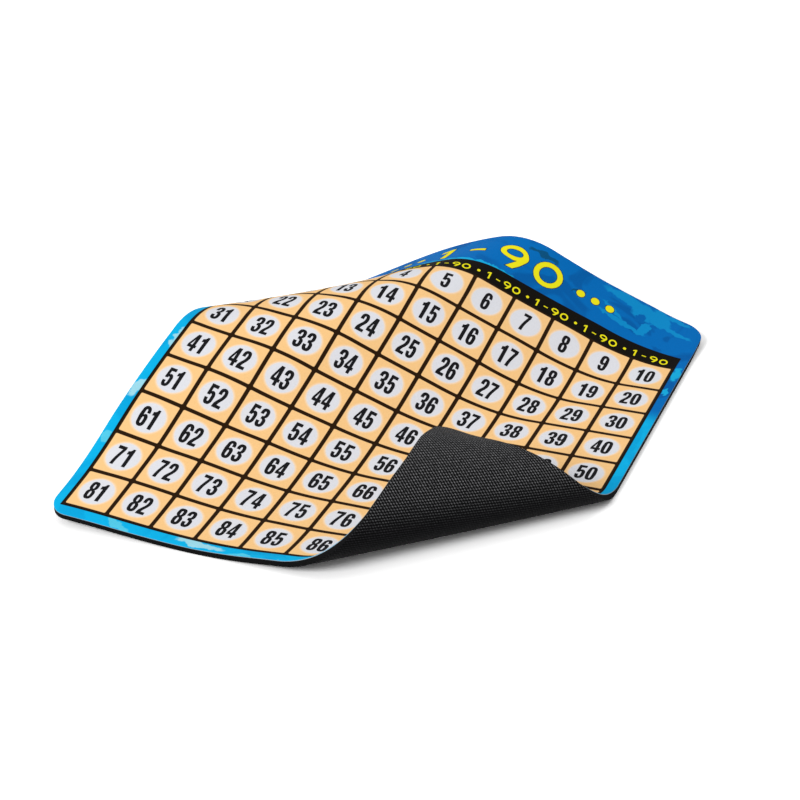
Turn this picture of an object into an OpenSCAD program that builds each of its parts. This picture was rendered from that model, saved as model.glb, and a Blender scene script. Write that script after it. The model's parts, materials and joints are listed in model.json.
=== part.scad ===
// A bingo mat: a printed cloth face bonded to a sponge rubber base. It lies as it was left after
// unrolling, with a wave across it from the left edge to the title edge, and with the corner of
// the last number curled up and over. Lengths are in millimetres, angles in degrees.
// The mat is first laid out flat, with X along a row of numbers, Y towards the title band and
// zero in the middle of the numbered grid. Bends are then made in it, one after another.

/* [Printed grid] */
// Width of one numbered place
cell_w = 23.5; // [18:0.5:30]
// Height of one numbered place
cell_h = 25; // [18:0.5:32]
// Numbered places in a row
columns = 10; // [8:1:12]
// Rows of numbered places
rows = 9; // [7:1:11]

/* [Outline of the mat] */
// Border at the left and right of the grid
side_border = 5.5; // [2:0.5:20]
// Border below the last row
front_border = 6.5; // [2:0.5:20]
// Dark strip between the grid and the title band
title_strip = 10.5; // [5:0.5:20]
// Title band at the far edge
title_band = 33; // [15:0.5:50]
// Rounding of the four corners
corner_r = 10.5; // [4:0.5:20]

/* [Layers] */
// Sponge rubber base
base_t = 2.7; // [1.5:0.1:4]
// Hot-melt film that bonds the cloth to the rubber
film_t = 0.1; // [0.05:0.01:0.3]
// Printed knitted cloth
cloth_t = 0.4; // [0.2:0.05:0.8]

/* [Wave: where the sheet leaves the table] */
// Start of the first bend, from the grid's middle towards the curled corner
foot_at = 33; // [15:0.5:60]
// Direction of this bend, from the Y axis
foot_dir = 34.5; // [25:0.5:55]
// Length of sheet that it takes
foot_len = 43; // [30:0.5:50]
// Turn upwards
foot_turn = 28.5; // [20:0.5:32]
// Change of this turn from end to end of the wave
foot_fan = -34; // [-40:0.5:0]

/* [Wave: its long slope] */
// Direction of this bend, from the Y axis
rise_dir = 46; // [30:0.5:55]
// Length of sheet that it takes
rise_len = 33; // [25:0.5:40]
// Turn upwards
rise_turn = 5.5; // [2:0.5:10]
// Change of this turn from end to end of the wave
rise_fan = 47; // [0:0.5:60]

/* [Wave: its crest] */
// Straight sheet between the slope and the crest
crest_gap = 6.5; // [2:0.5:14]
// Direction of this bend, from the Y axis
crest_dir = 30; // [25:0.5:50]
// Length of sheet that it takes
crest_len = 29; // [24:0.5:40]
// Turn downwards
crest_turn = 29.5; // [24:0.5:34]
// Change of this turn from end to end of the wave
crest_fan = -26.5; // [-30:0.5:0]

/* [Wave: its far side] */
// Direction of this bend, from the Y axis
back_dir = 51.5; // [35:0.5:55]
// Length of sheet that it takes
back_len = 36.5; // [30:0.5:44]
// Turn downwards
back_turn = 36; // [30:0.5:38]
// Change of this turn from end to end of the wave
back_fan = 95; // [0:0.5:100]

/* [Wave: where the far corner comes down] */
// Straight sheet between the far side and this bend
heel_gap = 17.5; // [10:0.5:24]
// Direction of this bend, from the Y axis
heel_dir = 40; // [30:0.5:50]
// Length of sheet that it takes
heel_len = 41; // [30:0.5:50]
// Turn upwards
heel_turn = 19.5; // [15:0.5:28]
// Change of this turn from end to end of the wave
heel_fan = 38; // [0:0.5:40]

/* [Curled corner: its foot] */
// Start of the first bend, from the grid's middle
lead_at = 65; // [60:0.5:75]
// Direction of this bend, from the Y axis
lead_dir = 51; // [45:0.5:55]
// Length of sheet that it takes
lead_len = 19; // [14:0.5:24]
// Turn upwards
lead_turn = 5.5; // [4:0.5:8]
// Change of this turn from end to end of the curl's span
lead_fan = -15; // [-20:0.5:0]

/* [Curled corner] */
// Straight sheet between the foot and the curl
curl_gap = 4; // [2:0.5:10]
// Direction of the curl, from the Y axis
curl_dir = 47.5; // [40:0.5:55]
// Length of sheet in the front of the curl
curl_len = 35; // [28:0.5:42]
// Turn of the front of the curl
curl_turn = 117.5; // [100:0.5:125]
// Change of this turn from end to end of the curl's span
curl_fan = 28.5; // [0:0.5:40]
// Straight sheet at the top of the curl
tuck_gap = 7; // [4:0.5:12]
// Direction of the bend that brings the corner over
tuck_dir = 37; // [35:0.5:50]
// Length of sheet that it takes
tuck_len = 25.5; // [22:0.5:34]
// Turn that brings the corner over
tuck_turn = 77; // [60:0.5:80]
// Change of this turn from end to end of the curl's span
tuck_fan = 159.5; // [0:0.5:160]
// Length of bend over which each change of turn above is counted
fan_span = 250; // [200:5:400]

/* [Hidden] */

half_turn = 180;
quarter_turn = 90;
least_turn = 0.01;      // a bend whose turn passes zero keeps this much, so that it has a radius

// ---- the flat mat ----
half_w = columns * cell_w / 2 + side_border;
front_y = -rows * cell_h / 2 - front_border;
back_y = rows * cell_h / 2 + title_strip + title_band;
corner_steps = 8;

function corner_arc(x, y, from) = [for (i = [0 : corner_steps])
    let (a = from + quarter_turn * i / corner_steps) [x + corner_r * cos(a), y + corner_r * sin(a)]];
outline = concat(
    corner_arc(half_w - corner_r, back_y - corner_r, 0),
    corner_arc(-half_w + corner_r, back_y - corner_r, quarter_turn),
    corner_arc(-half_w + corner_r, front_y + corner_r, half_turn),
    corner_arc(half_w - corner_r, front_y + corner_r, half_turn + quarter_turn));

// The sheet is cut by lines that run along the wave. They lie close together where they cross the
// rounding of the two side corners and where the corner curls, and further apart elsewhere.
lay_dir = 45;
wide_step = 6;          // distance between two lines in the wave
close_step = 2.9;       // distance between two lines at the side corners and in the curl
pieces_along = 6;       // pieces of sheet along a line
tip_angles = [16, 36, 58, 80];      // where the first and last lines cross the rounded tips
across = [cos(lay_dir), -sin(lay_dir)];
along = [sin(lay_dir), cos(lay_dir)];
ts = [for (p = outline) p * across];
ss = [for (p = outline) p * along];
tips = [for (a = tip_angles) corner_r * (1 - cos(a))];
side_corners = [
    [half_w - corner_r, back_y - corner_r] * across,
    [corner_r - half_w, front_y + corner_r] * across];
t_low = min(ts);
t_high = max(ts);
sides_from = min(side_corners) - corner_r;
sides_to = max(side_corners) + corner_r;
curl_from = max(sides_to, lead_at);
function spaced(from, to, step) = let (n = ceil((to - from) / step))
    [for (i = 0; i < n; i = i + 1) from + (to - from) * i / n];
lines = concat(
    [for (d = tips) t_low + d],
    spaced(t_low + corner_r, sides_from, wide_step),
    spaced(sides_from, sides_to, close_step),
    spaced(sides_to, curl_from, wide_step),
    spaced(curl_from, t_high - corner_r, close_step),
    [t_high - corner_r],
    [for (i = [len(tips) - 1 : -1 : 0]) t_high - tips[i]]);

// Where a line crosses the outline: its lowest and highest place along the wave
function crossings(t) = [for (i = [0 : len(outline) - 1]) let (j = (i + 1) % len(outline))
    if ((ts[i] - t) * (ts[j] - t) <= 0 && ts[i] != ts[j])
        ss[i] + (ss[j] - ss[i]) * (t - ts[i]) / (ts[j] - ts[i])];
flat = [for (t = lines) let (c = crossings(t), low = min(c), high = max(c))
    for (k = [0 : pieces_along]) t * across + (low + (high - low) * k / pieces_along) * along];

// ---- the bends ----
// Each is [direction, start, length, turn, change of turn along it]. Those of the wave run
// towards the far corner, so their direction is turned round.
rise_start = -foot_at + foot_len;
crest_start = rise_start + rise_len + crest_gap;
back_start = crest_start + crest_len;
heel_start = back_start + back_len + heel_gap;
wave = [
    [foot_dir + half_turn, -foot_at, foot_len, foot_turn, foot_fan],
    [rise_dir + half_turn, rise_start, rise_len, rise_turn, rise_fan],
    [crest_dir + half_turn, crest_start, crest_len, -crest_turn, -crest_fan],
    [back_dir + half_turn, back_start, back_len, -back_turn, -back_fan],
    [heel_dir + half_turn, heel_start, heel_len, heel_turn, heel_fan]];
curl_start = lead_at + lead_len + curl_gap;
tuck_start = curl_start + curl_len + tuck_gap;
curl = [
    [lead_dir, lead_at, lead_len, lead_turn, lead_fan],
    [curl_dir, curl_start, curl_len, curl_turn, curl_fan],
    [tuck_dir, tuck_start, tuck_len, tuck_turn, tuck_fan]];

// A point of the sheet after one bend: on the arc between the bend's start and its length, and on
// the straight sheet beyond it. The arc's axis lies above the underside by the bend's radius.
function bent(p, b) = let (
        n = [cos(b[0]), -sin(b[0]), 0],
        e = [sin(b[0]), cos(b[0]), 0],
        t = p * n - b[1],
        s = p * e,
        turn_here = b[3] + b[4] * s / fan_span,
        turn = abs(turn_here) > least_turn ? turn_here : least_turn,
        r = b[2] * half_turn / (PI * turn),
        a = turn * min(t, b[2]) / b[2],
        beyond = max(t - b[2], 0))
    t <= 0 ? p : (b[1] + (r - p.z) * sin(a) + beyond * cos(a)) * n + s * e
        + [0, 0, r - (r - p.z) * cos(a) + beyond * sin(a)];
// The last bend is made first, while the rest is still flat.
function bent_by(p, bends, i) = i < 0 ? p : bent_by(bent(p, bends[i]), bends, i - 1);
function shaped(p) = bent_by(bent_by(p, curl, len(curl) - 1), wave, len(wave) - 1);
// The table holds up what would come out below it.
function laid(p, w) = let (q = shaped([p.x, p.y, w]), under = shaped([p.x, p.y, 0]))
    q + [0, 0, max(0, -under.z)];

// ---- the layers ----
mat_t = base_t + film_t + cloth_t;
reach = [for (p = flat) each [laid(p, 0), laid(p, mat_t)]];
middle = [
    (min([for (p = reach) p.x]) + max([for (p = reach) p.x])) / 2,
    (min([for (p = reach) p.y]) + max([for (p = reach) p.y])) / 2,
    0];
function surface_points(w) = [for (p = flat) laid(p, w) - middle];

// The solid between two heights of the sheet. Neighbouring layers share their points.
module layer(w_low, w_high) {
    m = pieces_along + 1;
    n = len(lines);
    b = n * m;
    function quad(p0, p1, p2, p3) = [[p0, p1, p2], [p0, p2, p3]];
    top = [for (i = [0 : n - 2], j = [0 : m - 2])
        each quad(i * m + j, i * m + j + 1, (i + 1) * m + j + 1, (i + 1) * m + j)];
    bottom = [for (f = top) [f[0] + b, f[2] + b, f[1] + b]];
    sides = [for (i = [0 : n - 2]) let (p = i * m, q = (i + 1) * m, u = p + m - 1, v = q + m - 1)
        each concat(quad(p, q, q + b, p + b), quad(v, u, u + b, v + b))];
    ends = [for (j = [0 : m - 2]) let (p = j, q = b - m + j)
        each concat(quad(p + 1, p, p + b, p + 1 + b), quad(q, q + 1, q + 1 + b, q + b))];
    polyhedron(concat(surface_points(w_high), surface_points(w_low)),
        concat(top, bottom, sides, ends), convexity = 6);
}

module rubber_base() color("dimgray") layer(0, base_t);
module bond_film() color("lightgray") layer(base_t, base_t + film_t);
module face_cloth() color("orange") layer(base_t + film_t, mat_t);

face_cloth();
bond_film();
rubber_base();
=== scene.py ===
# %% [markdown]
# # A bingo mat
# The object is a soft mat for a bingo game with ninety numbers: a printed cloth on black sponge
# rubber, of the kind that mouse mats are made of. It was unrolled and left lying, so a low wave
# crosses it and one corner has curled up and over. The real mat is made flat and then bends, and
# this lesson does the same: a flat blank is cut out, printed and layered, and the bends come last.

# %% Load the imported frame
import json
import math

import bpy
import numpy as np
from mathutils import Euler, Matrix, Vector

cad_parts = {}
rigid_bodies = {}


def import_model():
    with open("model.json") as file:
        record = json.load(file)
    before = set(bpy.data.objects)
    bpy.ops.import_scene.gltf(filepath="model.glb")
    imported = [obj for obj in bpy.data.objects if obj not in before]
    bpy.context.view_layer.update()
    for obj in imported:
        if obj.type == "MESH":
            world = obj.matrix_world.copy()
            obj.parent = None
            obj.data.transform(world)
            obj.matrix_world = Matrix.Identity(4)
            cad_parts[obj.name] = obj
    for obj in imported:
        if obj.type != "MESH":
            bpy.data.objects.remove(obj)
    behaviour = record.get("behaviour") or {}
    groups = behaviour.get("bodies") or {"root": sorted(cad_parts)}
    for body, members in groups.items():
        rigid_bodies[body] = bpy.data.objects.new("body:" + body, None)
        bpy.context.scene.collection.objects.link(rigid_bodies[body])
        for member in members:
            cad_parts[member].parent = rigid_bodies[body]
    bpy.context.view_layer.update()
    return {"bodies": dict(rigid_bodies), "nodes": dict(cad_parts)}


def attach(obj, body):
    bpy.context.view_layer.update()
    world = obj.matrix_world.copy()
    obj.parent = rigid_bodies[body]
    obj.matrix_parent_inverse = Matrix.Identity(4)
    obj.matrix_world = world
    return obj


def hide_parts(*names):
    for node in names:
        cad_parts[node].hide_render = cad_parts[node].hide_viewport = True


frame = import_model()
scene = bpy.context.scene
MM = 0.001
print("CAD nodes:", sorted(frame["nodes"]))

# %% [markdown]
# ## The camera
# The photograph looks down on the mat from the front right, from well back, with a long lens. The
# place, the turn and the lens come from fitting the corners of the numbered squares, so the camera
# is made first and every later step can be compared with the photograph.

# %% Camera
CAMERA_AT = Vector((320.9, -703.2, 457.0)) * MM
CAMERA_TURN = (60.16, 2.66, 22.95)
LENS_MM = 79.25

camera_data = bpy.data.cameras.new("camera")
camera_data.lens = LENS_MM
camera_data.sensor_width = 36
camera_data.clip_start = 0.01
camera = bpy.data.objects.new("camera", camera_data)
camera.location = CAMERA_AT
camera.rotation_euler = Euler([math.radians(a) for a in CAMERA_TURN])
scene.collection.objects.link(camera)
scene.camera = camera
print("camera stands", round(CAMERA_AT.length, 3), "m from the mat")

# %% [markdown]
# ## Sizes of the flat mat
# These are the sizes that the part's source has, in millimetres. Zero is the middle of the numbered
# grid, X runs along a row and Y runs towards the title band.

# %% Sizes
CELL_W, CELL_H = 23.5, 25.0
COLUMNS, ROWS = 10, 9
SIDE_BORDER, FRONT_BORDER = 5.5, 6.5
TITLE_STRIP, TITLE_BAND = 10.5, 33.0
CORNER_R = 10.5
BASE_T, FILM_T, CLOTH_T = 2.7, 0.1, 0.4
MAT_T = BASE_T + FILM_T + CLOTH_T

HALF_W = COLUMNS * CELL_W / 2 + SIDE_BORDER
FRONT_Y = -ROWS * CELL_H / 2 - FRONT_BORDER
BACK_Y = ROWS * CELL_H / 2 + TITLE_STRIP + TITLE_BAND
MAT_W, MAT_L = 2 * HALF_W, BACK_Y - FRONT_Y
print("flat mat:", MAT_W, "by", MAT_L, "mm,", round(MAT_T, 2), "mm thick")

# %% [markdown]
# ## How the sheet bends
# A sheet of rubber and cloth hardly stretches, so its shape is a chain of simple bends: flat, then
# an arc across the sheet, then flat again. Each bend has a direction, a start, a length of sheet
# and a turn, and the turn may change slowly from one end of the bend to the other, which lets the
# wave fan out. Such a fan strains the sheet a little, most at the curled tip and the far corner.
# Blender's own bend operator needs a window, so the same arithmetic as in the part's source moves
# the points, and the render and the solid have one shape.

# %% The chain of bends
FAN_SPAN = 250.0
LEAST_TURN = 0.01
FOOT = (34.5, -33, 43, 28.5, -34)  # direction, start, length, turn, change of turn
RISE = (46, 10, 33, 5.5, 47)
CREST = (30, 49.5, 29, -29.5, 26.5)
BACK = (51.5, 78.5, 36.5, -36, -95)
HEEL = (40, 132.5, 41, 19.5, 38)
WAVE = [FOOT, RISE, CREST, BACK, HEEL]
LEAD = (51, 65, 19, 5.5, -15)
ROLL = (47.5, 88, 35, 117.5, 28.5)
TUCK = (37, 130, 25.5, 77, 159.5)
CURL = [LEAD, ROLL, TUCK]


def bend(points, direction, start, length, turn, change):
    """Bend an array of points, in millimetres, about one line across the sheet."""
    a = math.radians(direction)
    across = np.array([math.cos(a), -math.sin(a), 0])
    along = np.array([math.sin(a), math.cos(a), 0])
    t = points @ across - start
    s = points @ along
    z = points[:, 2]
    turn_here = turn + change * s / FAN_SPAN
    turn_here = np.radians(np.where(np.abs(turn_here) > LEAST_TURN, turn_here, LEAST_TURN))
    radius = length / turn_here
    angle = turn_here * np.minimum(t, length) / length
    beyond = np.maximum(t - length, 0)
    bent_t = start + (radius - z) * np.sin(angle) + beyond * np.cos(angle)
    bent_z = radius - (radius - z) * np.cos(angle) + beyond * np.sin(angle)
    bent = bent_t[:, None] * across + s[:, None] * along
    bent[:, 2] = bent_z
    return np.where((t > 0)[:, None], bent, points)


def lie(points):
    """Take points of the flat mat to where they lie, with the table holding up what is lowest."""

    def chain(p):
        for b in reversed(CURL):
            p = bend(p, *b)
        for direction, *rest in reversed(WAVE):
            p = bend(p, direction + 180, *rest)
        return p

    underside = points * [1, 1, 0]
    laid = chain(points)
    laid[:, 2] += np.maximum(0, -chain(underside)[:, 2])
    return laid


# %% [markdown]
# ## Working by operator
# New pieces are made as by hand, with primitives and edit-mode operators. Two small helpers keep
# that safe: one makes an object the only selected one, and one runs a function inside edit mode.

# %% Helpers for operators
def only(obj):
    bpy.ops.object.select_all(action="DESELECT")
    obj.select_set(True)
    bpy.context.view_layer.objects.active = obj


def in_edit_mode(obj, action):
    only(obj)
    bpy.ops.object.mode_set(mode="EDIT")
    action()
    bpy.ops.object.mode_set(mode="OBJECT")


def apply_modifier(obj, kind, **values):
    only(obj)
    bpy.ops.object.modifier_add(type=kind)
    modifier = obj.modifiers[-1]
    for key, value in values.items():
        setattr(modifier, key, value)
    bpy.ops.object.modifier_apply(modifier=modifier.name)


def own_copy(obj, name):
    copy = obj.copy()
    copy.data = obj.data.copy()
    copy.name = copy.data.name = name
    scene.collection.objects.link(copy)
    return copy


# %% [markdown]
# ## Lines to bend along
# A flat face can't bend, so each layer is cut by lines that run along the wave, as a road has more
# posts in a bend. They lie close together where the curl turns tightest. A second set of lines,
# across the first and further apart, lets the wave fan out. The print that lies on the cloth gets
# the same cuts, so that both facet alike and never cross.

# %% Cutting lines
LAY = math.radians(45)
ACROSS = Vector((math.cos(LAY), -math.sin(LAY), 0))
ALONG = Vector((math.sin(LAY), math.cos(LAY), 0))
corners = [Vector((x, y, 0)) for x in (-HALF_W, HALF_W) for y in (FRONT_Y, BACK_Y)]
CURL_ZONE = (84.0, 164.0)
WAVE_STEP, CURL_STEP, TIP_STEP, FAN_STEP = 2.6, 1.4, 2.0, 6.0
SAME_POINT = 0.001


def places(low, high, step):
    n = math.ceil((high - low) / step)
    return [low + (high - low) * i / n for i in range(1, n)]


t_low, t_high = (f(c.dot(ACROSS) for c in corners) for f in (min, max))
s_low, s_high = (f(c.dot(ALONG) for c in corners) for f in (min, max))
t_lines = places(t_low, CURL_ZONE[0], WAVE_STEP) + [CURL_ZONE[0]]
t_lines += places(*CURL_ZONE, CURL_STEP) + [CURL_ZONE[1]] + places(CURL_ZONE[1], t_high, TIP_STEP)
s_lines = places(s_low, s_high, FAN_STEP)
print(len(t_lines), "lines along the wave,", len(s_lines), "across it")


def cut_for_bending(obj):
    """Cut the unbent object along every line, and merge the points that fall together."""

    def cut():
        for normal, lines in ((ACROSS, t_lines), (ALONG, s_lines)):
            for d in lines:
                bpy.ops.mesh.select_all(action="SELECT")
                bpy.ops.mesh.bisect(plane_co=normal * d, plane_no=normal, threshold=SAME_POINT)
        bpy.ops.mesh.select_all(action="SELECT")
        bpy.ops.mesh.remove_doubles(threshold=2 * SAME_POINT)

    in_edit_mode(obj, cut)


# %% [markdown]
# ## The blank
# The factory punches the mat out of a laminated roll with a knife that has round corners. A plane
# of the mat's size is added and its four corners are bevelled, which gives the knife's outline.
# The pieces are made in millimetres and turned into metres when they are laid down.

# %% Blank
CORNER_STEPS = 16

bpy.ops.object.select_all(action="DESELECT")
bpy.ops.mesh.primitive_plane_add(size=1)
blank = bpy.context.object
blank.name = "blank"
blank.scale = (MAT_W, MAT_L, 1)
blank.location = (0, (FRONT_Y + BACK_Y) / 2, 0)
bpy.ops.object.transform_apply(location=True, rotation=True, scale=True)


def round_corners():
    bpy.ops.mesh.select_all(action="SELECT")
    bpy.ops.mesh.bevel(offset=CORNER_R, segments=CORNER_STEPS, affect="VERTICES")


in_edit_mode(blank, round_corners)
print("blank:", len(blank.data.vertices), "points round its rim")


# %% [markdown]
# ## From blank to layer
# Each layer is a copy of the blank, raised to its height and given its thickness. Its UV map is the
# flat drawing itself, so a printed pattern bends with the cloth as ink does. The rim keeps the
# crisp edge of a punched cut, with the least rounding, so that it catches the light. The rim is
# rounded before the layer is cut for bending, because many short rim edges would not bevel cleanly.

# %% Layer tools
RIM_STEPS = 2
SHARP = math.radians(50)
SAME_HEIGHT = 1e-4
RIM_LEVEL = 0.35  # a face whose normal rises less than this belongs to the cut rim


def set_points(obj, points):
    obj.data.vertices.foreach_set("co", np.asarray(points, dtype=np.float64).ravel())
    obj.data.update()


def get_points(obj):
    points = np.empty(len(obj.data.vertices) * 3)
    obj.data.vertices.foreach_get("co", points)
    return points.reshape(-1, 3)


def raise_to(obj, low, high):
    """Give a flat piece its thickness. Each side is then set to its exact height."""
    points = get_points(obj)
    points[:, 2] = low
    set_points(obj, points)
    apply_modifier(obj, "SOLIDIFY", thickness=high - low, offset=1)
    points = get_points(obj)
    for side in np.split(points, 2):
        side[:, 2] = low if np.median(side[:, 2]) < (low + high) / 2 else high
    set_points(obj, points)


def draw_flat_map(obj):
    """A UV map that is the flat drawing: 0 to 1 from edge to edge."""
    for old in list(obj.data.uv_layers):
        obj.data.uv_layers.remove(old)
    layer = obj.data.uv_layers.new(name="flat")
    points = get_points(obj)
    corner_points = np.empty(len(obj.data.loops), dtype=np.int32)
    obj.data.loops.foreach_get("vertex_index", corner_points)
    xy = points[corner_points][:, :2]
    uv = (xy - [-HALF_W, FRONT_Y]) / [MAT_W, MAT_L]
    layer.uv.foreach_set("vector", uv.astype(np.float32).ravel())


def bevel_rim(obj, height, width):
    """Round the outer edge that lies at one height."""

    def select_edges():
        bpy.ops.mesh.select_mode(type="EDGE")
        bpy.ops.mesh.select_all(action="DESELECT")
        bpy.ops.mesh.edges_select_sharp(sharpness=SHARP)

    def round_selected():
        bpy.ops.mesh.bevel(offset=width, segments=RIM_STEPS, affect="EDGES")
        bpy.ops.mesh.select_mode(type="FACE")

    in_edit_mode(obj, select_edges)
    for face in obj.data.polygons:
        face.select = False
    for edge in obj.data.edges:
        ends = [obj.data.vertices[i].co.z for i in edge.vertices]
        if any(abs(z - height) > SAME_HEIGHT for z in ends):
            edge.select = False
    in_edit_mode(obj, round_selected)


def faces_by_side(obj):
    """Material slot 0 for faces that look up or down, slot 1 for the cut rim."""
    for face in obj.data.polygons:
        face.material_index = int(abs(face.normal.z) < RIM_LEVEL)


# %% [markdown]
# ## Three layers
# The rubber carries the mat, a thin hot-melt film bonds the cloth to it, and the cloth is on top.

# %% Layers, still flat
RUBBER_EDGE_R, CLOTH_EDGE_R = 0.25, 0.16

rubber = own_copy(blank, "rubber_base_mat")
raise_to(rubber, 0, BASE_T)
bevel_rim(rubber, 0, RUBBER_EDGE_R)
film = own_copy(blank, "bond_film_mat")
raise_to(film, BASE_T, BASE_T + FILM_T)
cloth = own_copy(blank, "face_cloth_mat")
raise_to(cloth, BASE_T + FILM_T, MAT_T)
bevel_rim(cloth, MAT_T, CLOTH_EDGE_R)
for layer in (rubber, film, cloth):
    cut_for_bending(layer)
    draw_flat_map(layer)
    faces_by_side(layer)
    print(layer.name, len(layer.data.polygons), "faces")

# %% [markdown]
# ## Numerals
# The numbers are set in a heavy, narrow face. Text made with the built-in font is too wide and
# thin, so the ten numerals are drawn once as filled curves, on a body 100 high and about 50 wide.
# A point is a corner (c) or a smooth point (s) of the outline, and an inner outline is a hole.

# %% Drawing the numerals
c, s = "VECTOR", "AUTO"
BOWL = [
    (25, 48, s), (30, 43, s), (31, 31, s), (30, 19, s), (25, 14.5, s), (20, 19, s), (19, 31, s),
    (20, 43, s),
]
SIX = [
    (50, 69, c), (49, 80, s), (42, 94, s), (25, 100, s), (7, 93, s), (0, 71, s), (0, 29, s),
    (7, 7, s), (25, 0, s), (44, 7, s), (50, 31, s), (46, 54, s), (32, 62, s), (19, 56, c),
    (19, 70, s), (20, 81, s), (25, 85.5, s), (30, 80, s), (31, 69, c),
]
NUMERALS = {
    0: [
        [(25, 100, s), (43, 93, s), (50, 70, s), (50, 30, s), (43, 7, s), (25, 0, s), (7, 7, s), (0, 30, s),
         (0, 70, s), (7, 93, s)],
        [(25, 85.5, s), (30, 81, s), (31, 70, s), (31, 30, s), (30, 19, s), (25, 14.5, s), (20, 19, s),
         (19, 30, s), (19, 70, s), (20, 81, s)],
    ],
    1: [[
        (18, 0, c), (39, 0, c), (39, 100, c), (26, 100, c), (18, 89, s), (4, 84, c), (4, 67, c),
        (18, 70, c),
    ]],
    2: [[
        (1, 66, c), (20, 66, c), (20, 75, s), (21.5, 83, s), (26, 85.5, s), (30.5, 81, s), (31, 70, s),
        (27, 55, s), (12, 34, s), (3, 18, s), (1, 0, c), (49, 0, c), (49, 15, c), (24, 15, c),
        (29, 27, s), (43, 48, s), (50, 66, s), (49, 82, s), (42, 95, s), (26, 100, s), (9, 95, s), (2, 82, s),
    ]],
    3: [[
        (0, 69, c), (19, 69, c), (19.5, 79, s), (25, 85.5, s), (30, 81, s), (31, 72, s), (29, 62, s),
        (17, 58, c), (17, 44, c), (28, 42, s), (31.5, 29, s), (30, 18, s), (25, 14.5, s), (20, 19, s),
        (19, 32, c), (0, 32, c), (2, 14, s), (10, 3, s), (25, 0, s), (43, 6, s), (51, 28, s),
        (48, 44, s), (38, 52, c), (47, 60, s),
        (50, 74, s), (43, 94, s), (25, 100, s), (8, 95, s), (1, 82, s),
    ]],
    4: [
        [(24, 100, c), (44, 100, c), (44, 36, c), (53, 36, c), (53, 21, c), (44, 21, c), (44, 0, c),
         (26, 0, c), (26, 21, c), (0, 21, c), (0, 37, c)],
        [(26, 36, c), (13, 36, c), (26, 72, c)],
    ],
    5: [[
        (4, 100, c), (46, 100, c), (46, 84, c), (20, 84, c), (19, 64, c), (30, 68, s), (45, 60, s),
        (50, 34, s), (43, 7, s), (25, 0, s), (8, 5, s), (0, 31, c), (19, 31, c), (20, 19, s),
        (25, 14.5, s), (30, 19, s),
        (31, 34, s), (30, 49, s), (25, 53.5, s), (19, 46, c), (2, 46, c),
    ]],
    6: [SIX, BOWL],
    7: [[
        (0, 100, c), (48, 100, c), (48, 85, c), (37, 58, s), (28, 28, s), (25, 0, c), (5, 0, c), (10, 30, s),
        (19, 58, s), (30, 84, c), (0, 84, c),
    ]],
    8: [
        [(25, 100, s), (43, 95, s), (49, 76, s), (47, 62, s), (39, 53, c), (48, 45, s), (50, 28, s),
         (44, 7, s), (25, 0, s), (6, 7, s), (0, 28, s), (2, 45, s), (11, 53, c), (3, 62, s),
         (1, 76, s), (7, 95, s)],
        [(25, 86, s), (29.5, 82, s), (30.5, 73, s), (29.5, 64, s), (25, 60, s), (20.5, 64, s), (19.5, 73, s),
         (20.5, 82, s)],
        [(25, 46, s), (30, 41, s), (31, 30, s), (30, 19, s), (25, 14.5, s), (20, 19, s), (19, 30, s),
         (20, 41, s)],
    ],
    9: [[(50 - x, 100 - y, kind) for x, y, kind in part] for part in (SIX, BOWL)],
}


def outline_curve(name, parts, fatter=0.0):
    """A filled flat curve from outlines of (x, y, kind) points."""
    curve = bpy.data.curves.new(name, "CURVE")
    curve.dimensions = "2D"
    curve.fill_mode = "BOTH"
    curve.resolution_u = 5
    curve.offset = fatter
    for part in parts:
        spline = curve.splines.new("BEZIER")
        spline.bezier_points.add(len(part) - 1)
        spline.use_cyclic_u = True
        for point, (x, y, kind) in zip(spline.bezier_points, part):
            point.co = (x, y, 0)
            point.handle_left_type = point.handle_right_type = kind
    obj = bpy.data.objects.new(name, curve)
    scene.collection.objects.link(obj)
    return obj


def flat_mesh(obj):
    """Turn a filled curve into a flat mesh whose faces all look up."""
    only(obj)
    bpy.ops.object.convert(target="MESH")

    def tidy():
        bpy.ops.mesh.select_all(action="SELECT")
        bpy.ops.mesh.remove_doubles(threshold=SAME_POINT)
        bpy.ops.mesh.normals_make_consistent(inside=False)

    def turn_over():
        bpy.ops.mesh.select_all(action="SELECT")
        bpy.ops.mesh.flip_normals()

    in_edit_mode(obj, tidy)
    if sum(face.normal.z * face.area for face in obj.data.polygons) < 0:
        in_edit_mode(obj, turn_over)
    return obj


BOLDER = 0.3
glyphs = {n: flat_mesh(outline_curve(f"numeral_{n}", parts, BOLDER)) for n, parts in NUMERALS.items()}
print("numerals drawn:", sorted(glyphs))

# %% [markdown]
# ## Setting the numbers
# Each place holds its number, from 1 at the title edge to 90. The numerals are copied to their
# places, joined, cut along the bending lines and given the thickness of a film of ink. In truth
# the dye is in the cloth, so the ink is only thick enough to show: five hundredths of a millimetre.

# %% Numbers 1 to 90
DIGIT_H = 11.8
DIGIT_W_SHARE = 0.75
DIGIT_GAP = 0.85
BODY_W = 50
NUMBER_SHIFT = -0.45
INK_SUNK, INK_PROUD, TITLE_PROUD = 0.02, 0.05, 0.08


def set_number(text, x, y, size, name, library, body):
    """Copies of numerals, centred on a place. The size is a height, a width share and a gap."""
    height, wide, gap = size
    scale = height / 100
    width = body * scale * wide
    at = x - (len(text) * width + (len(text) - 1) * gap) / 2
    made = []
    for i, digit in enumerate(text):
        copy = own_copy(library[int(digit)], f"{name}_{i}")
        copy.scale = (scale * wide, scale, 1)
        copy.location = (at + i * (width + gap), y - height / 2, 0)
        made.append(copy)
    return made


def join(objects, name):
    bpy.ops.object.select_all(action="DESELECT")
    for obj in objects:
        obj.select_set(True)
    bpy.context.view_layer.objects.active = objects[0]
    bpy.ops.object.transform_apply(location=True, rotation=True, scale=True)
    if len(objects) > 1:
        bpy.ops.object.join()
    joined = bpy.context.object
    joined.name = joined.data.name = name
    return joined


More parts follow.
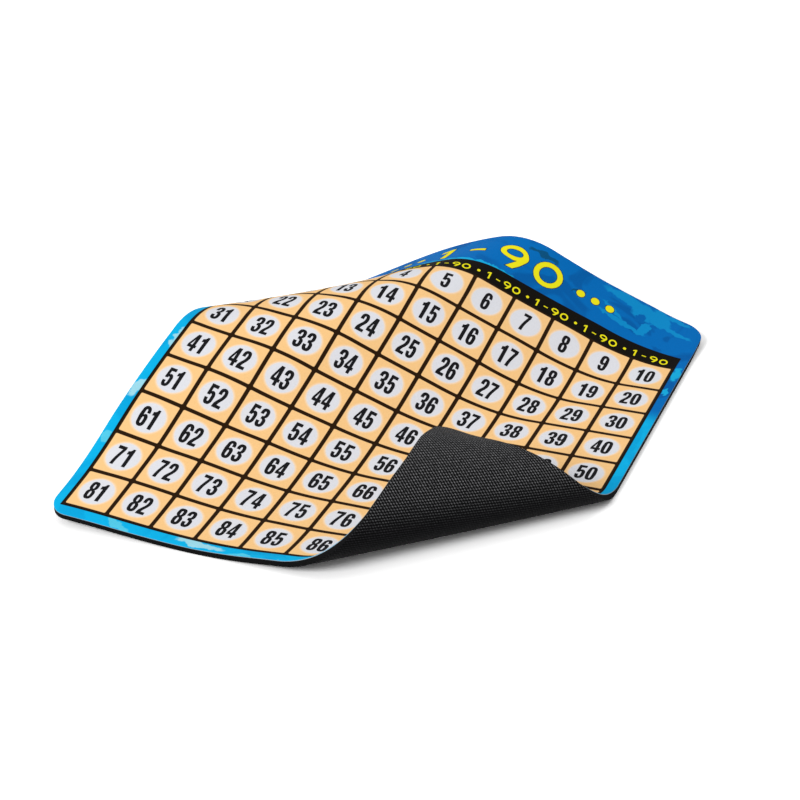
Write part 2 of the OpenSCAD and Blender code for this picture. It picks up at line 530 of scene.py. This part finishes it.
def print_on_cloth(obj, proud=INK_PROUD):
    """Make flat artwork a thin closed film that lies in the face of the cloth."""
    cut_for_bending(obj)
    raise_to(obj, MAT_T - INK_SUNK, MAT_T + proud)
    draw_flat_map(obj)


def place_centre(column, row):
    """Middle of a numbered place: column from the left, row from the title edge."""
    return (column + 0.5 - COLUMNS / 2) * CELL_W, (ROWS / 2 - row - 0.5) * CELL_H


digits = []
for number in range(1, COLUMNS * ROWS + 1):
    row, column = divmod(number - 1, COLUMNS)
    x, y = place_centre(column, row)
    size = (DIGIT_H, DIGIT_W_SHARE, DIGIT_GAP)
    digits += set_number(str(number), x + NUMBER_SHIFT, y, size, f"n{number}", glyphs, BODY_W)
numbers = join(digits, "number_print")
print_on_cloth(numbers)
print("number print:", len(numbers.data.polygons), "faces")

# %% [markdown]
# ## Title numerals
# The band at the far edge has room for a title. It gets what any such mat may say: the range of its
# numbers, 1 to 90. Its numerals are wide and round, of one even stroke, so they are drawn apart from
# the narrow ones, on the same body 100 high. A second set is 2.2 fatter all round, for an outline.

# %% Drawing the title numerals
TITLE_NUMERALS = {
    0: [
        [(48, 100, s), (96, 50, s), (48, 0, s), (0, 50, s)],
        [(48, 82, s), (78, 50, s), (48, 18, s), (18, 50, s)],
    ],
    1: [[(22, 0, c), (40, 0, c), (40, 100, c), (26, 100, c), (0, 84, c), (0, 66, c), (22, 78, c)]],
    9: [
        [(44, 100, s), (88, 67, s), (78, 32, s), (56, 0, c), (34, 0, c), (60, 37, c), (44, 34, s),
         (0, 67, s)],
        [(44, 83, s), (70, 67, s), (44, 51, s), (18, 67, s)],
    ],
}
OUTLINE_NUMERALS = {
    0: [
        [(48, 102.2, s), (98.2, 50, s), (48, -2.2, s), (-2.2, 50, s)],
        [(48, 79.8, s), (75.8, 50, s), (48, 20.2, s), (20.2, 50, s)],
    ],
    1: [[
        (19.8, -2.2, c), (42.2, -2.2, c), (42.2, 102.2, c), (25.4, 102.2, c), (-2.2, 85.2, c),
        (-2.2, 62.3, c), (19.8, 74.3, c),
    ]],
    9: [
        [(44, 102.2, s), (90.2, 67, s), (79.9, 30.9, s), (57.2, -2.2, c), (29.8, -2.2, c), (54, 32.3, c),
         (44, 31.8, s), (-2.2, 67, s)],
        [(44, 80.8, s), (67.8, 67, s), (44, 53.2, s), (20.2, 67, s)],
    ],
}
RANGE_PLACES = ((1, 40, -1.85), (9, 88, 0.40), (0, 96, 1.57))  # numeral, body width, place in heights
DASH_PLACE, DASH_W, DASH_H = -0.72, 0.5, 0.13


def put(obj, x, y):
    flat_mesh(obj).location = (x, y, 0)
    return obj


def dot(name, size, x, y):
    r = size / 2
    return put(outline_curve(name, [[(0, r, s), (r, 0, s), (0, -r, s), (-r, 0, s)]]), x, y)


def range_text(x, y, height, name, library, fatter=0.0):
    """The range of the numbers in wide numerals about one place: 1, a dash, 90."""
    parts = []
    size = (height, 1.0, 0)
    for digit, body, place in RANGE_PLACES:
        parts += set_number(str(digit), x + place * height, y, size, f"{name}_{digit}", library, body)
    w, h = DASH_W * height / 2 + fatter, DASH_H * height / 2 + fatter
    dash = outline_curve(f"{name}_dash", [[(-w, -h, c), (w, -h, c), (w, h, c), (-w, h, c)]])
    return parts + [put(dash, x + DASH_PLACE * height, y)]


# %% [markdown]
# ## Title and strip
# The title is yellow on a thin dark outline, with three dots at either side. The dark strip below it
# repeats the range in small, with a dot between one and the next.

# %% Title and strip prints
TITLE_H, TITLE_X = 18.0, 5.3
TITLE_Y = ROWS * CELL_H / 2 + TITLE_STRIP + 15.0
TITLE_DOTS, TITLE_DOT = (48.7, 57.7, 66.7), 5.0
OUTLINE = 0.4
STRIP_H, STRIP_DOT, STRIP_TIMES = 4.9, 1.8, 8
STRIP_EVERY = COLUMNS * CELL_W / STRIP_TIMES
STRIP_Y = ROWS * CELL_H / 2 + 4.2


def title(name, numerals, fatter):
    library = {n: flat_mesh(outline_curve(f"{name}_{n}", p)) for n, p in numerals.items()}
    parts = range_text(TITLE_X, TITLE_Y, TITLE_H, name, library, fatter)
    for offset in TITLE_DOTS:
        for x in (TITLE_X - offset, TITLE_X + offset):
            parts.append(dot(f"{name}_dot", TITLE_DOT + 2 * fatter, x, TITLE_Y))
    for glyph in library.values():
        bpy.data.objects.remove(glyph)
    return join(parts, name)


def strip(name):
    library = {n: flat_mesh(outline_curve(f"{name}_{n}", p)) for n, p in TITLE_NUMERALS.items()}
    parts = []
    for i in range(STRIP_TIMES):
        left = (i - STRIP_TIMES / 2) * STRIP_EVERY
        parts += range_text(left + STRIP_EVERY / 2, STRIP_Y, STRIP_H, f"{name}_{i}", library)
        if i > 0:
            parts.append(dot(f"{name}_dot", STRIP_DOT, left, STRIP_Y))
    for glyph in library.values():
        bpy.data.objects.remove(glyph)
    return join(parts, name)


title_edge = title("title_outline_print", OUTLINE_NUMERALS, OUTLINE)
title_face = title("title_print", TITLE_NUMERALS, 0)
strip_face = strip("strip_print")
print_on_cloth(title_edge)
print_on_cloth(title_face, TITLE_PROUD)
print_on_cloth(strip_face)
for obj in list(glyphs.values()) + [blank]:
    bpy.data.objects.remove(obj)
artwork = (numbers, title_edge, title_face, strip_face)
print("artwork:", {obj.name: len(obj.data.polygons) for obj in artwork})

# %% [markdown]
# ## Laying the mat down
# All pieces are bent by the same chain of bends, and then moved together so that the middle of the
# mat's box is at the frame's origin, where the solids have it.

# %% Bend and place
pieces = (rubber, film, cloth) + artwork
bent = {piece: lie(get_points(piece)) for piece in pieces}
everything = np.vstack([bent[piece] for piece in (rubber, film, cloth)])
middle = (everything.min(axis=0) + everything.max(axis=0)) / 2 * [1, 1, 0]
for piece in pieces:
    set_points(piece, (bent[piece] - middle) * MM)
    only(piece)
    bpy.ops.object.shade_smooth_by_angle(angle=math.radians(40))
print("middle of the grid is", np.round(-middle, 2), "mm from the frame's origin")

# %% [markdown]
# ## Tools for materials
# Colours are written as on a colour chart and turned into Blender's linear values. A short helper
# adds a node, and takes either a number or another node's output for each input.

# %% Material tools
def paint(code):
    """A linear colour from a chart code such as FFC98A."""
    parts = [int(code[i : i + 2], 16) / 255 for i in (0, 2, 4)]
    return tuple(p / 12.92 if p <= 0.04045 else ((p + 0.055) / 1.055) ** 2.4 for p in parts) + (1.0,)


def add(tree, kind, settings=None, **inputs):
    """Add a node, set it up, and link or set its inputs. Input in_0 means the first socket."""
    node = tree.nodes.new("ShaderNode" + kind)
    for key, value in (settings or {}).items():
        setattr(node, key, value)
    for key, value in inputs.items():
        socket = node.inputs[int(key[3:])] if key.startswith("in_") else node.inputs[key.replace("_", " ")]
        if isinstance(value, bpy.types.NodeSocket):
            tree.links.new(value, socket)
        else:
            socket.default_value = value
    return node


def calc(tree, operation, *values):
    node = add(tree, "Math", {"operation": operation}, **{f"in_{i}": v for i, v in enumerate(values)})
    return node.outputs[0]


def vcalc(tree, operation, *values):
    node = add(tree, "VectorMath", {"operation": operation}, **{f"in_{i}": v for i, v in enumerate(values)})
    return node.outputs["Value" if operation in ("LENGTH", "DOT_PRODUCT") else "Vector"]


def step(tree, value, at_1, at_0):
    """1 where value is at_1, 0 where it is at_0, and smooth between."""
    node = add(tree, "MapRange", {"interpolation_type": "SMOOTHSTEP"}, in_0=value)
    for i, v in enumerate((at_0, at_1, 0.0, 1.0), 1):
        node.inputs[i].default_value = v
    return node.outputs[0]


def mix(tree, share, a, b):
    node = add(tree, "Mix", {"data_type": "RGBA"})
    for socket, value in ((node.inputs[0], share), (node.inputs[6], a), (node.inputs[7], b)):
        if isinstance(value, bpy.types.NodeSocket):
            tree.links.new(value, socket)
        else:
            socket.default_value = value
    return node.outputs[2]


def material(name):
    made = bpy.data.materials.new(name)
    made.use_nodes = True
    tree = made.node_tree
    return made, tree, tree.nodes["Principled BSDF"]


def flat_place(tree):
    """Where a point lies on the flat mat, in millimetres from its front left corner."""
    uv = add(tree, "UVMap", {"uv_map": "flat"}).outputs[0]
    return vcalc(tree, "MULTIPLY", uv, (MAT_W, MAT_L, 0))


# %% [markdown]
# ## Knitted cloth, as a node group
# The face is a fine knit, and so is the ink that has dyed it, so the knit is one group that both
# finishes use. It gives a height for the bump and a slight unevenness for the colour.

# %% Knit group
def knit_group():
    group = bpy.data.node_groups.new("fine knit", "ShaderNodeTree")
    group.interface.new_socket("Place mm", in_out="INPUT", socket_type="NodeSocketVector")
    group.interface.new_socket("Pitch mm", in_out="INPUT", socket_type="NodeSocketFloat")
    group.interface.new_socket("Height", in_out="OUTPUT", socket_type="NodeSocketFloat")
    group.interface.new_socket("Tone", in_out="OUTPUT", socket_type="NodeSocketFloat")
    start = group.nodes.new("NodeGroupInput")
    end = group.nodes.new("NodeGroupOutput")
    scaled = vcalc(group, "SCALE", start.outputs["Place mm"])
    turns = calc(group, "DIVIDE", 2 * math.pi, start.outputs["Pitch mm"])
    group.links.new(turns, scaled.node.inputs["Scale"])
    split = add(group, "SeparateXYZ", in_0=scaled)
    wale = calc(group, "SINE", split.outputs[0])
    half_course = calc(group, "ABSOLUTE", wale)
    course = calc(group, "SINE", calc(group, "MULTIPLY_ADD", half_course, 1.3, split.outputs[1]))
    height = calc(group, "ADD", half_course, calc(group, "MULTIPLY", course, 0.5))
    group.links.new(height, end.inputs["Height"])
    cloud = add(group, "TexNoise", {"noise_dimensions": "2D"}, Vector=start.outputs["Place mm"])
    cloud.inputs["Scale"].default_value = 0.9
    cloud.inputs["Detail"].default_value = 4
    group.links.new(cloud.outputs[0], end.inputs["Tone"])
    return group


KNIT = knit_group()
KNIT_PITCH, KNIT_DEPTH, KNIT_BUMP = 0.55, 0.05, 0.25


def knit(tree, place):
    node = add(tree, "Group", {"node_tree": KNIT})
    tree.links.new(place, node.inputs["Place mm"])
    node.inputs["Pitch mm"].default_value = KNIT_PITCH
    return node.outputs["Height"], node.outputs["Tone"]


def cloth_finish(tree, shader, place, colour):
    """Knit bump, faint unevenness and the soft sheen of polyester on any printed colour."""
    height, tone = knit(tree, place)
    uneven = calc(tree, "MULTIPLY_ADD", tone, 0.10, 0.95)
    shade = add(tree, "HueSaturation", Value=uneven, Color=colour)
    tree.links.new(shade.outputs[0], shader.inputs["Base Color"])
    bumped = add(tree, "Bump", Height=height, Strength=KNIT_BUMP, Distance=KNIT_DEPTH * MM)
    tree.links.new(bumped.outputs[0], shader.inputs["Normal"])
    shader.inputs["Roughness"].default_value = 0.8
    shader.inputs["Specular IOR Level"].default_value = 0.04
    shader.inputs["Sheen Weight"].default_value = 0.01
    shader.inputs["Sheen Roughness"].default_value = 0.5


# %% [markdown]
# ## The printed face
# The print is one drawing on the flat mat. It is built as a printer would separate it: the blue
# ground with its paler splashes, the black frame and strip, the orange places with their rounded
# corners, and on each a pale round patch that fades softly into the orange, and looks oval from
# where the camera stands. A splash is an ellipse whose edge is made ragged by noise, so that the
# ground looks like water.

# %% Colours and splashes of the print
ORANGE, PATCH, HALO = paint("FBCB8B"), paint("E1E2E8"), paint("FBDDBA")
LINE_BROWN, FRAME_BLACK = paint("281808"), paint("100D09")
BLUE_FAR, BLUE_NEAR = paint("026CBA"), paint("0AB2E8")
DEEP_FAR, DEEP_NEAR = paint("025EA8"), paint("06A6DE")
LINE_W, FRAME_W = 2.15, 1.7
PLACE_R, FRAME_R, INK_SOFT = 0.7, 0.3, 0.12
PATCH_R, PATCH_SHIFT = 8.6, -0.3

# Each splash: x and y from the middle of the grid, length, width, and turn in degrees
TITLE_EDGE_DARK = ((27, 149.5, 18, 3.6, -3), (52, 139, 10, 2, 20))
TITLE_SWIRLS = (
    (82, 151.5, 34, 7, -3), (89, 148, 13, 13, 0), (99, 149, 12, 14, 0), (80, 133.5, 28, 3.2, -6),
    (93, 137, 13, 5, 65), (74, 139, 16, 2.4, -28), (107, 144, 24, 2.8, -12), (108, 153.8, 15, 3.6, -6),
)
SWIRL_ISLANDS = ((89, 142.5, 8, 4.4, 72), (97, 141, 4, 3.6, 0))
BRIGHT_SPLASHES = ((120.5, 106.5, 5, 14, 0), (-12, 124.2, 62, 3.4, -2), (120, 87, 3, 8, 0))
LIGHT_SPLASHES = ((-85.5, -116.6, 16, 3.6, -24), (-120, -67.6, 5, 6, 0), (-20, -118.4, 12, 2.6, 0))
PALE_SPLASHES = ((-120.2, -36.5, 12, 5, 75), (-117.5, 1, 16, 5, 85), (-42.5, -115.4, 24, 4.2, -5))
SPLASH_INKS = (
    (TITLE_EDGE_DARK, paint("08527F")), (TITLE_SWIRLS, paint("0C8CCC")), (SWIRL_ISLANDS, paint("0364B0")),
    (BRIGHT_SPLASHES, paint("16ABDE")), (LIGHT_SPLASHES, paint("52C8E6")), (PALE_SPLASHES, paint("9CD8E8")),
)


def box_distance(tree, place, half_x, half_y, rounding):
    """Distance to a rounded rectangle about zero, below zero inside it."""
    inner = (half_x - rounding, half_y - rounding, 0)
    past_inner = vcalc(tree, "SUBTRACT", vcalc(tree, "ABSOLUTE", place), inner)
    outside = vcalc(tree, "MAXIMUM", past_inner, (0, 0, 0))
    return calc(tree, "SUBTRACT", vcalc(tree, "LENGTH", outside), rounding)


def repeat(tree, place, step_x, step_y):
    """Place within each repeat of a pattern, measured from the repeat's middle."""
    cells = vcalc(tree, "DIVIDE", place, (step_x, step_y, 1))
    centred = vcalc(tree, "SUBTRACT", vcalc(tree, "FRACTION", cells), (0.5, 0.5, 0))
    return vcalc(tree, "MULTIPLY", centred, (step_x, step_y, 0))


def splash_mask(tree, place, splashes):
    """1 inside any of the splashes, and soft at their edges."""
    nearest = 9.0
    for x, y, length, width, turn in splashes:
        moved = vcalc(tree, "SUBTRACT", place, (x, y, 0))
        angle = math.radians(-turn)
        turned = add(tree, "VectorRotate", {"rotation_type": "Z_AXIS"}, Vector=moved, Angle=angle)
        local = vcalc(tree, "DIVIDE", turned.outputs[0], (length / 2, width / 2, 1))
        nearest = calc(tree, "MINIMUM", vcalc(tree, "LENGTH", local), nearest)
    return step(tree, nearest, 0.85, 1.15)


def blue_ground(tree, place, from_middle):
    """Blue like water, which runs from deep at the title to bright at the front, with its splashes."""
    y = add(tree, "SeparateXYZ", in_0=from_middle).outputs[1]
    near = step(tree, y, 52, 68)
    cloud = add(tree, "TexNoise", {"noise_dimensions": "2D"}, Vector=place, Scale=0.03, Distortion=1.2)
    deep = step(tree, cloud.outputs[0], 0.62, 0.52)
    ground = mix(tree, near, mix(tree, deep, BLUE_FAR, DEEP_FAR), mix(tree, deep, BLUE_NEAR, DEEP_NEAR))
    ragged = add(tree, "TexNoise", {"noise_dimensions": "2D"}, Vector=place, Scale=0.22)
    ragged.inputs["Detail"].default_value = 4
    shift = vcalc(tree, "MULTIPLY", vcalc(tree, "SUBTRACT", ragged.outputs[1], (0.5, 0.5, 0.5)), (5, 5, 0))
    torn = vcalc(tree, "ADD", from_middle, shift)
    for splashes, ink in SPLASH_INKS:
        ground = mix(tree, splash_mask(tree, torn, splashes), ground, ink)
    return ground


# %% Printed cloth
def printed_face():
    made, tree, shader = material("printed cloth")
    place = flat_place(tree)
    grid = vcalc(tree, "SUBTRACT", place, (SIDE_BORDER, FRONT_BORDER, 0))
    in_place = repeat(tree, grid, CELL_W, CELL_H)
    square = box_distance(tree, in_place, (CELL_W - LINE_W) / 2, (CELL_H - LINE_W) / 2, PLACE_R)
    from_patch = vcalc(tree, "LENGTH", vcalc(tree, "SUBTRACT", in_place, (PATCH_SHIFT, 0, 0)))
    orange = mix(tree, step(tree, from_patch, PATCH_R - 0.2, PATCH_R + 1.4), ORANGE, HALO)
    paper = mix(tree, step(tree, from_patch, PATCH_R - 0.6, PATCH_R + 0.4), orange, PATCH)
    places_ink = mix(tree, step(tree, square, -INK_SOFT, INK_SOFT), LINE_BROWN, paper)

    grid_middle = (COLUMNS * CELL_W / 2, ROWS * CELL_H / 2, 0)
    from_middle = vcalc(tree, "SUBTRACT", grid, grid_middle)
    grid_box = box_distance(tree, from_middle, grid_middle[0], grid_middle[1], FRAME_R)
    grid_mask = step(tree, grid_box, -INK_SOFT, INK_SOFT)
    black_middle = (grid_middle[0], grid_middle[1] + TITLE_STRIP / 2, 0)
    from_black = vcalc(tree, "SUBTRACT", grid, black_middle)
    half_black = (black_middle[0] + FRAME_W / 2, black_middle[1] + FRAME_W / 2)
    black_box = box_distance(tree, from_black, *half_black, FRAME_R)
    black_mask = step(tree, black_box, -INK_SOFT, INK_SOFT)

    colour = mix(tree, black_mask, blue_ground(tree, place, from_middle), FRAME_BLACK)
    colour = mix(tree, grid_mask, colour, places_ink)
    cloth_finish(tree, shader, place, colour)
    return made


def plain_cloth(name, colour):
    made, tree, shader = material(name)
    cloth_finish(tree, shader, flat_place(tree), colour)
    return made


printed = printed_face()
number_ink = plain_cloth("number ink", paint("18181B"))
title_ink = plain_cloth("title yellow", paint("F2E81C"))
title_shadow_ink = plain_cloth("title outline", paint("0A2A44"))
print("print finishes made")


# %% [markdown]
# ## Cut edge of the cloth
# Where the knife went through, the dye has not reached the core of the yarn, so the edge is paler
# than the face, with a fibrous roughness.

# %% Cut edge
def cut_edge():
    made, tree, shader = material("cut cloth edge")
    coords = add(tree, "TexCoord").outputs["Object"]
    fibres = add(tree, "TexNoise", in_0=coords)
    fibres.inputs["Scale"].default_value = 2600
    fibres.inputs["Detail"].default_value = 3
    colour = mix(tree, fibres.outputs[0], paint("4A93B4"), paint("B4C6CE"))
    tree.links.new(colour, shader.inputs["Base Color"])
    bumped = add(tree, "Bump", Height=fibres.outputs[0], Strength=0.4, Distance=0.08 * MM)
    tree.links.new(bumped.outputs[0], shader.inputs["Normal"])
    shader.inputs["Roughness"].default_value = 0.95
    return made


# %% [markdown]
# ## Film
# The film is only seen as a hair line between cloth and rubber. It is clear to milky and a little
# glossy.

# %% Film finish
def film_finish():
    made, tree, shader = material("hot-melt film")
    coords = add(tree, "TexCoord").outputs["Object"]
    cloud = add(tree, "TexNoise", in_0=coords)
    cloud.inputs["Scale"].default_value = 400
    tree.links.new(mix(tree, cloud.outputs[0], paint("55585A"), paint("7D8082")), shader.inputs["Base Color"])
    shader.inputs["Roughness"].default_value = 0.45
    return made


# %% [markdown]
# ## Rubber
# The underside is pressed with a fine waffle, so that it grips the table: rows of small pips that
# run parallel to the curl, each row a little offset from the next. The pips' tops are painted a grey
# highlight colour, a painted glint that is brighter towards the curled corner, and the black there is
# painted lighter as painted sheen; the valleys stay black. The cut rim shows the closed pores of the
# sponge instead.

# %% Rubber finishes
PIP_EVERY, PIP_H = 1.34, 0.18
PIP_ROWS = math.radians(42)
ROW_STAGGER = 0.45
ROW_PART, GLINT_ZONE_ROW_CUT = 0.33, 0.14  # share of the rows in the pips' height, and how much of it the painted-highlight zone takes away
FRONT_LEFT = Vector((-HALF_W, FRONT_Y, 0)).dot(ACROSS)

# Where along the roll the painted sheen and the painted highlights are whole and where they end,
# from the mat's front left corner
SHEEN_ZONE = (160.0 - FRONT_LEFT, 126.0 - FRONT_LEFT)
GLINT_ZONE = (130.0 - FRONT_LEFT, 108.0 - FRONT_LEFT)


def rubber_finish():
    made, tree, shader = material("waffled rubber")
    place = flat_place(tree)
    turned = add(tree, "VectorRotate", {"rotation_type": "Z_AXIS"}, Vector=place, Angle=PIP_ROWS)
    split = add(tree, "SeparateXYZ", in_0=turned.outputs[0])
    rows, dots = [calc(tree, "MULTIPLY", split.outputs[i], 2 * math.pi / PIP_EVERY) for i in (0, 1)]
    dots = calc(tree, "MULTIPLY_ADD", rows, ROW_STAGGER, dots)
    along_roll = vcalc(tree, "DOT_PRODUCT", place, tuple(ACROSS))
    # painted sheen: the black is painted lighter towards the curled corner
    painted_sheen_share = step(tree, along_roll, *SHEEN_ZONE)
    # painted highlights: the pips' tops are painted brighter towards the curled corner, and the rows there
    # are weaker
    painted_glint_share = step(tree, along_roll, *GLINT_ZONE)
    row_part = calc(tree, "MULTIPLY_ADD", painted_glint_share, -GLINT_ZONE_ROW_CUT, ROW_PART)
    across_rows = calc(tree, "MULTIPLY_ADD", calc(tree, "COSINE", rows), row_part, 0.5)
    dot_part = calc(tree, "SUBTRACT", 0.5, row_part)
    pips = calc(tree, "MULTIPLY_ADD", calc(tree, "COSINE", dots), dot_part, across_rows)
    wear = add(tree, "TexNoise", {"noise_dimensions": "2D"}, Vector=place, Scale=0.12)
    wear.inputs["Detail"].default_value = 5
    grain = add(tree, "TexNoise", {"noise_dimensions": "2D"}, Vector=place, Scale=2.0)
    # The noise gives a random tone; the lighter black is painted sheen.
    base_black = mix(tree, wear.outputs[0], paint("050506"), paint("0D0D0E"))
    sheen_black = mix(tree, wear.outputs[0], paint("18181A"), paint("252526"))
    black = mix(tree, painted_sheen_share, base_black, sheen_black)
    # The pips' tops are painted a grey highlight colour, a painted glint.
    tops = calc(tree, "MULTIPLY", step(tree, pips, 0.9, 0.4), step(tree, grain.outputs[0], 0.7, 0.25))
    glint = mix(tree, painted_glint_share, paint("2A2A2C"), paint("828284"))
    colour = mix(tree, tops, black, glint)
    tree.links.new(colour, shader.inputs["Base Color"])
    rough = calc(tree, "MULTIPLY_ADD", tops, -0.2, 0.6)
    tree.links.new(rough, shader.inputs["Roughness"])
    height = calc(tree, "MULTIPLY_ADD", grain.outputs[0], 0.12, pips)
    bumped = add(tree, "Bump", Height=height, Strength=0.8, Distance=PIP_H * MM)
    tree.links.new(bumped.outputs[0], shader.inputs["Normal"])
    shader.inputs["Specular IOR Level"].default_value = 0.02
    return made


def rubber_rim():
    made, tree, shader = material("cut rubber rim")
    coords = add(tree, "TexCoord").outputs["Object"]
    pores = add(tree, "TexVoronoi", in_0=coords)
    pores.inputs["Scale"].default_value = 2200
    colour = mix(tree, pores.outputs["Distance"], paint("0B0B0C"), paint("1A1A1B"))
    tree.links.new(colour, shader.inputs["Base Color"])
    bumped = add(tree, "Bump", Height=pores.outputs["Distance"], Strength=0.5, Distance=0.1 * MM)
    tree.links.new(bumped.outputs[0], shader.inputs["Normal"])
    shader.inputs["Roughness"].default_value = 0.75
    shader.inputs["Specular IOR Level"].default_value = 0.02
    return made


# %% Put the finishes on
def wear_finish(obj, *materials):
    for m in materials:
        obj.data.materials.append(m)


edge, clear_film = cut_edge(), film_finish()
wear_finish(cloth, printed, edge)
wear_finish(film, clear_film, clear_film)
wear_finish(rubber, rubber_finish(), rubber_rim())
wear_finish(numbers, number_ink)
wear_finish(title_edge, title_shadow_ink)
wear_finish(title_face, title_ink)
wear_finish(strip_face, title_ink)
print("finishes:", len(bpy.data.materials))

# %% [markdown]
# ## Part of the frame
# The mat is one body. Each layer stands for its solid.

# %% Ride and replace
BODY = sorted(frame["bodies"])[0]
for piece in pieces:
    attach(piece, BODY)
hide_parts("rubber_base")
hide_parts("bond_film")
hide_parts("face_cloth")
print("body:", BODY)

# %% [markdown]
# ## Studio
# The photograph has a white ground that keeps only a soft shadow, darkest where the mat touches it.
# The world gives a little over half of the light, and a wide lamp to the left of the camera gives
# most of the rest, so that the shadow falls behind the curl and along the right edge. A weak lamp
# above the far edge keeps the ground behind the title white. For the camera, glass and gloss the
# floor is whiter than white, and only the deeper shadow shows on it.

# %% Floor, lamps and world
FLOOR_LIT, FLOOR_SEEN = (0.45, 0.45, 0.45, 1), (1.4, 1.4, 1.4, 1)
WORLD_LIGHT = 0.55


def seen_ray(tree):
    """1 for the rays of the camera, of gloss and of glass, 0 for the rays that light the mat."""
    ray = add(tree, "LightPath")
    seen = calc(tree, "MAXIMUM", ray.outputs["Is Camera Ray"], ray.outputs["Is Glossy Ray"])
    return calc(tree, "MAXIMUM", seen, ray.outputs["Is Transmission Ray"])


bpy.ops.object.select_all(action="DESELECT")
bpy.ops.mesh.primitive_plane_add(size=3)
floor = bpy.context.object
floor.name = "studio_floor"
floor_paint, tree, shader = material("studio floor")
tree.nodes.remove(shader)
seen = seen_ray(tree)
ground = add(tree, "BsdfDiffuse", Color=mix(tree, seen, FLOOR_LIT, FLOOR_SEEN))
tree.links.new(ground.outputs[0], tree.nodes["Material Output"].inputs["Surface"])
wear_finish(floor, floor_paint)


def lamp(name, place, size, power):
    """A round soft lamp that looks at the mat."""
    data = bpy.data.lights.new(name, "AREA")
    data.shape = "DISK"
    data.size = size
    data.energy = power
    obj = bpy.data.objects.new(name, data)
    obj.location = place
    obj.rotation_euler = (-Vector(place)).to_track_quat("-Z", "Y").to_euler()
    scene.collection.objects.link(obj)


lamp("key_lamp", place=(-1.5, -3.2, 2.7), size=1.9, power=116)
lamp("top_lamp", place=(0.9, 1.2, 3.6), size=2.0, power=16)

world = bpy.data.worlds.new("studio")
scene.world = world
world.use_nodes = True
tree = world.node_tree
light = calc(tree, "MULTIPLY_ADD", seen_ray(tree), 1 - WORLD_LIGHT, WORLD_LIGHT)
tree.links.new(light, tree.nodes["Background"].inputs["Strength"])
tree.nodes["Background"].inputs["Color"].default_value = (1, 1, 1, 1)
scene.view_settings.view_transform = "Standard"
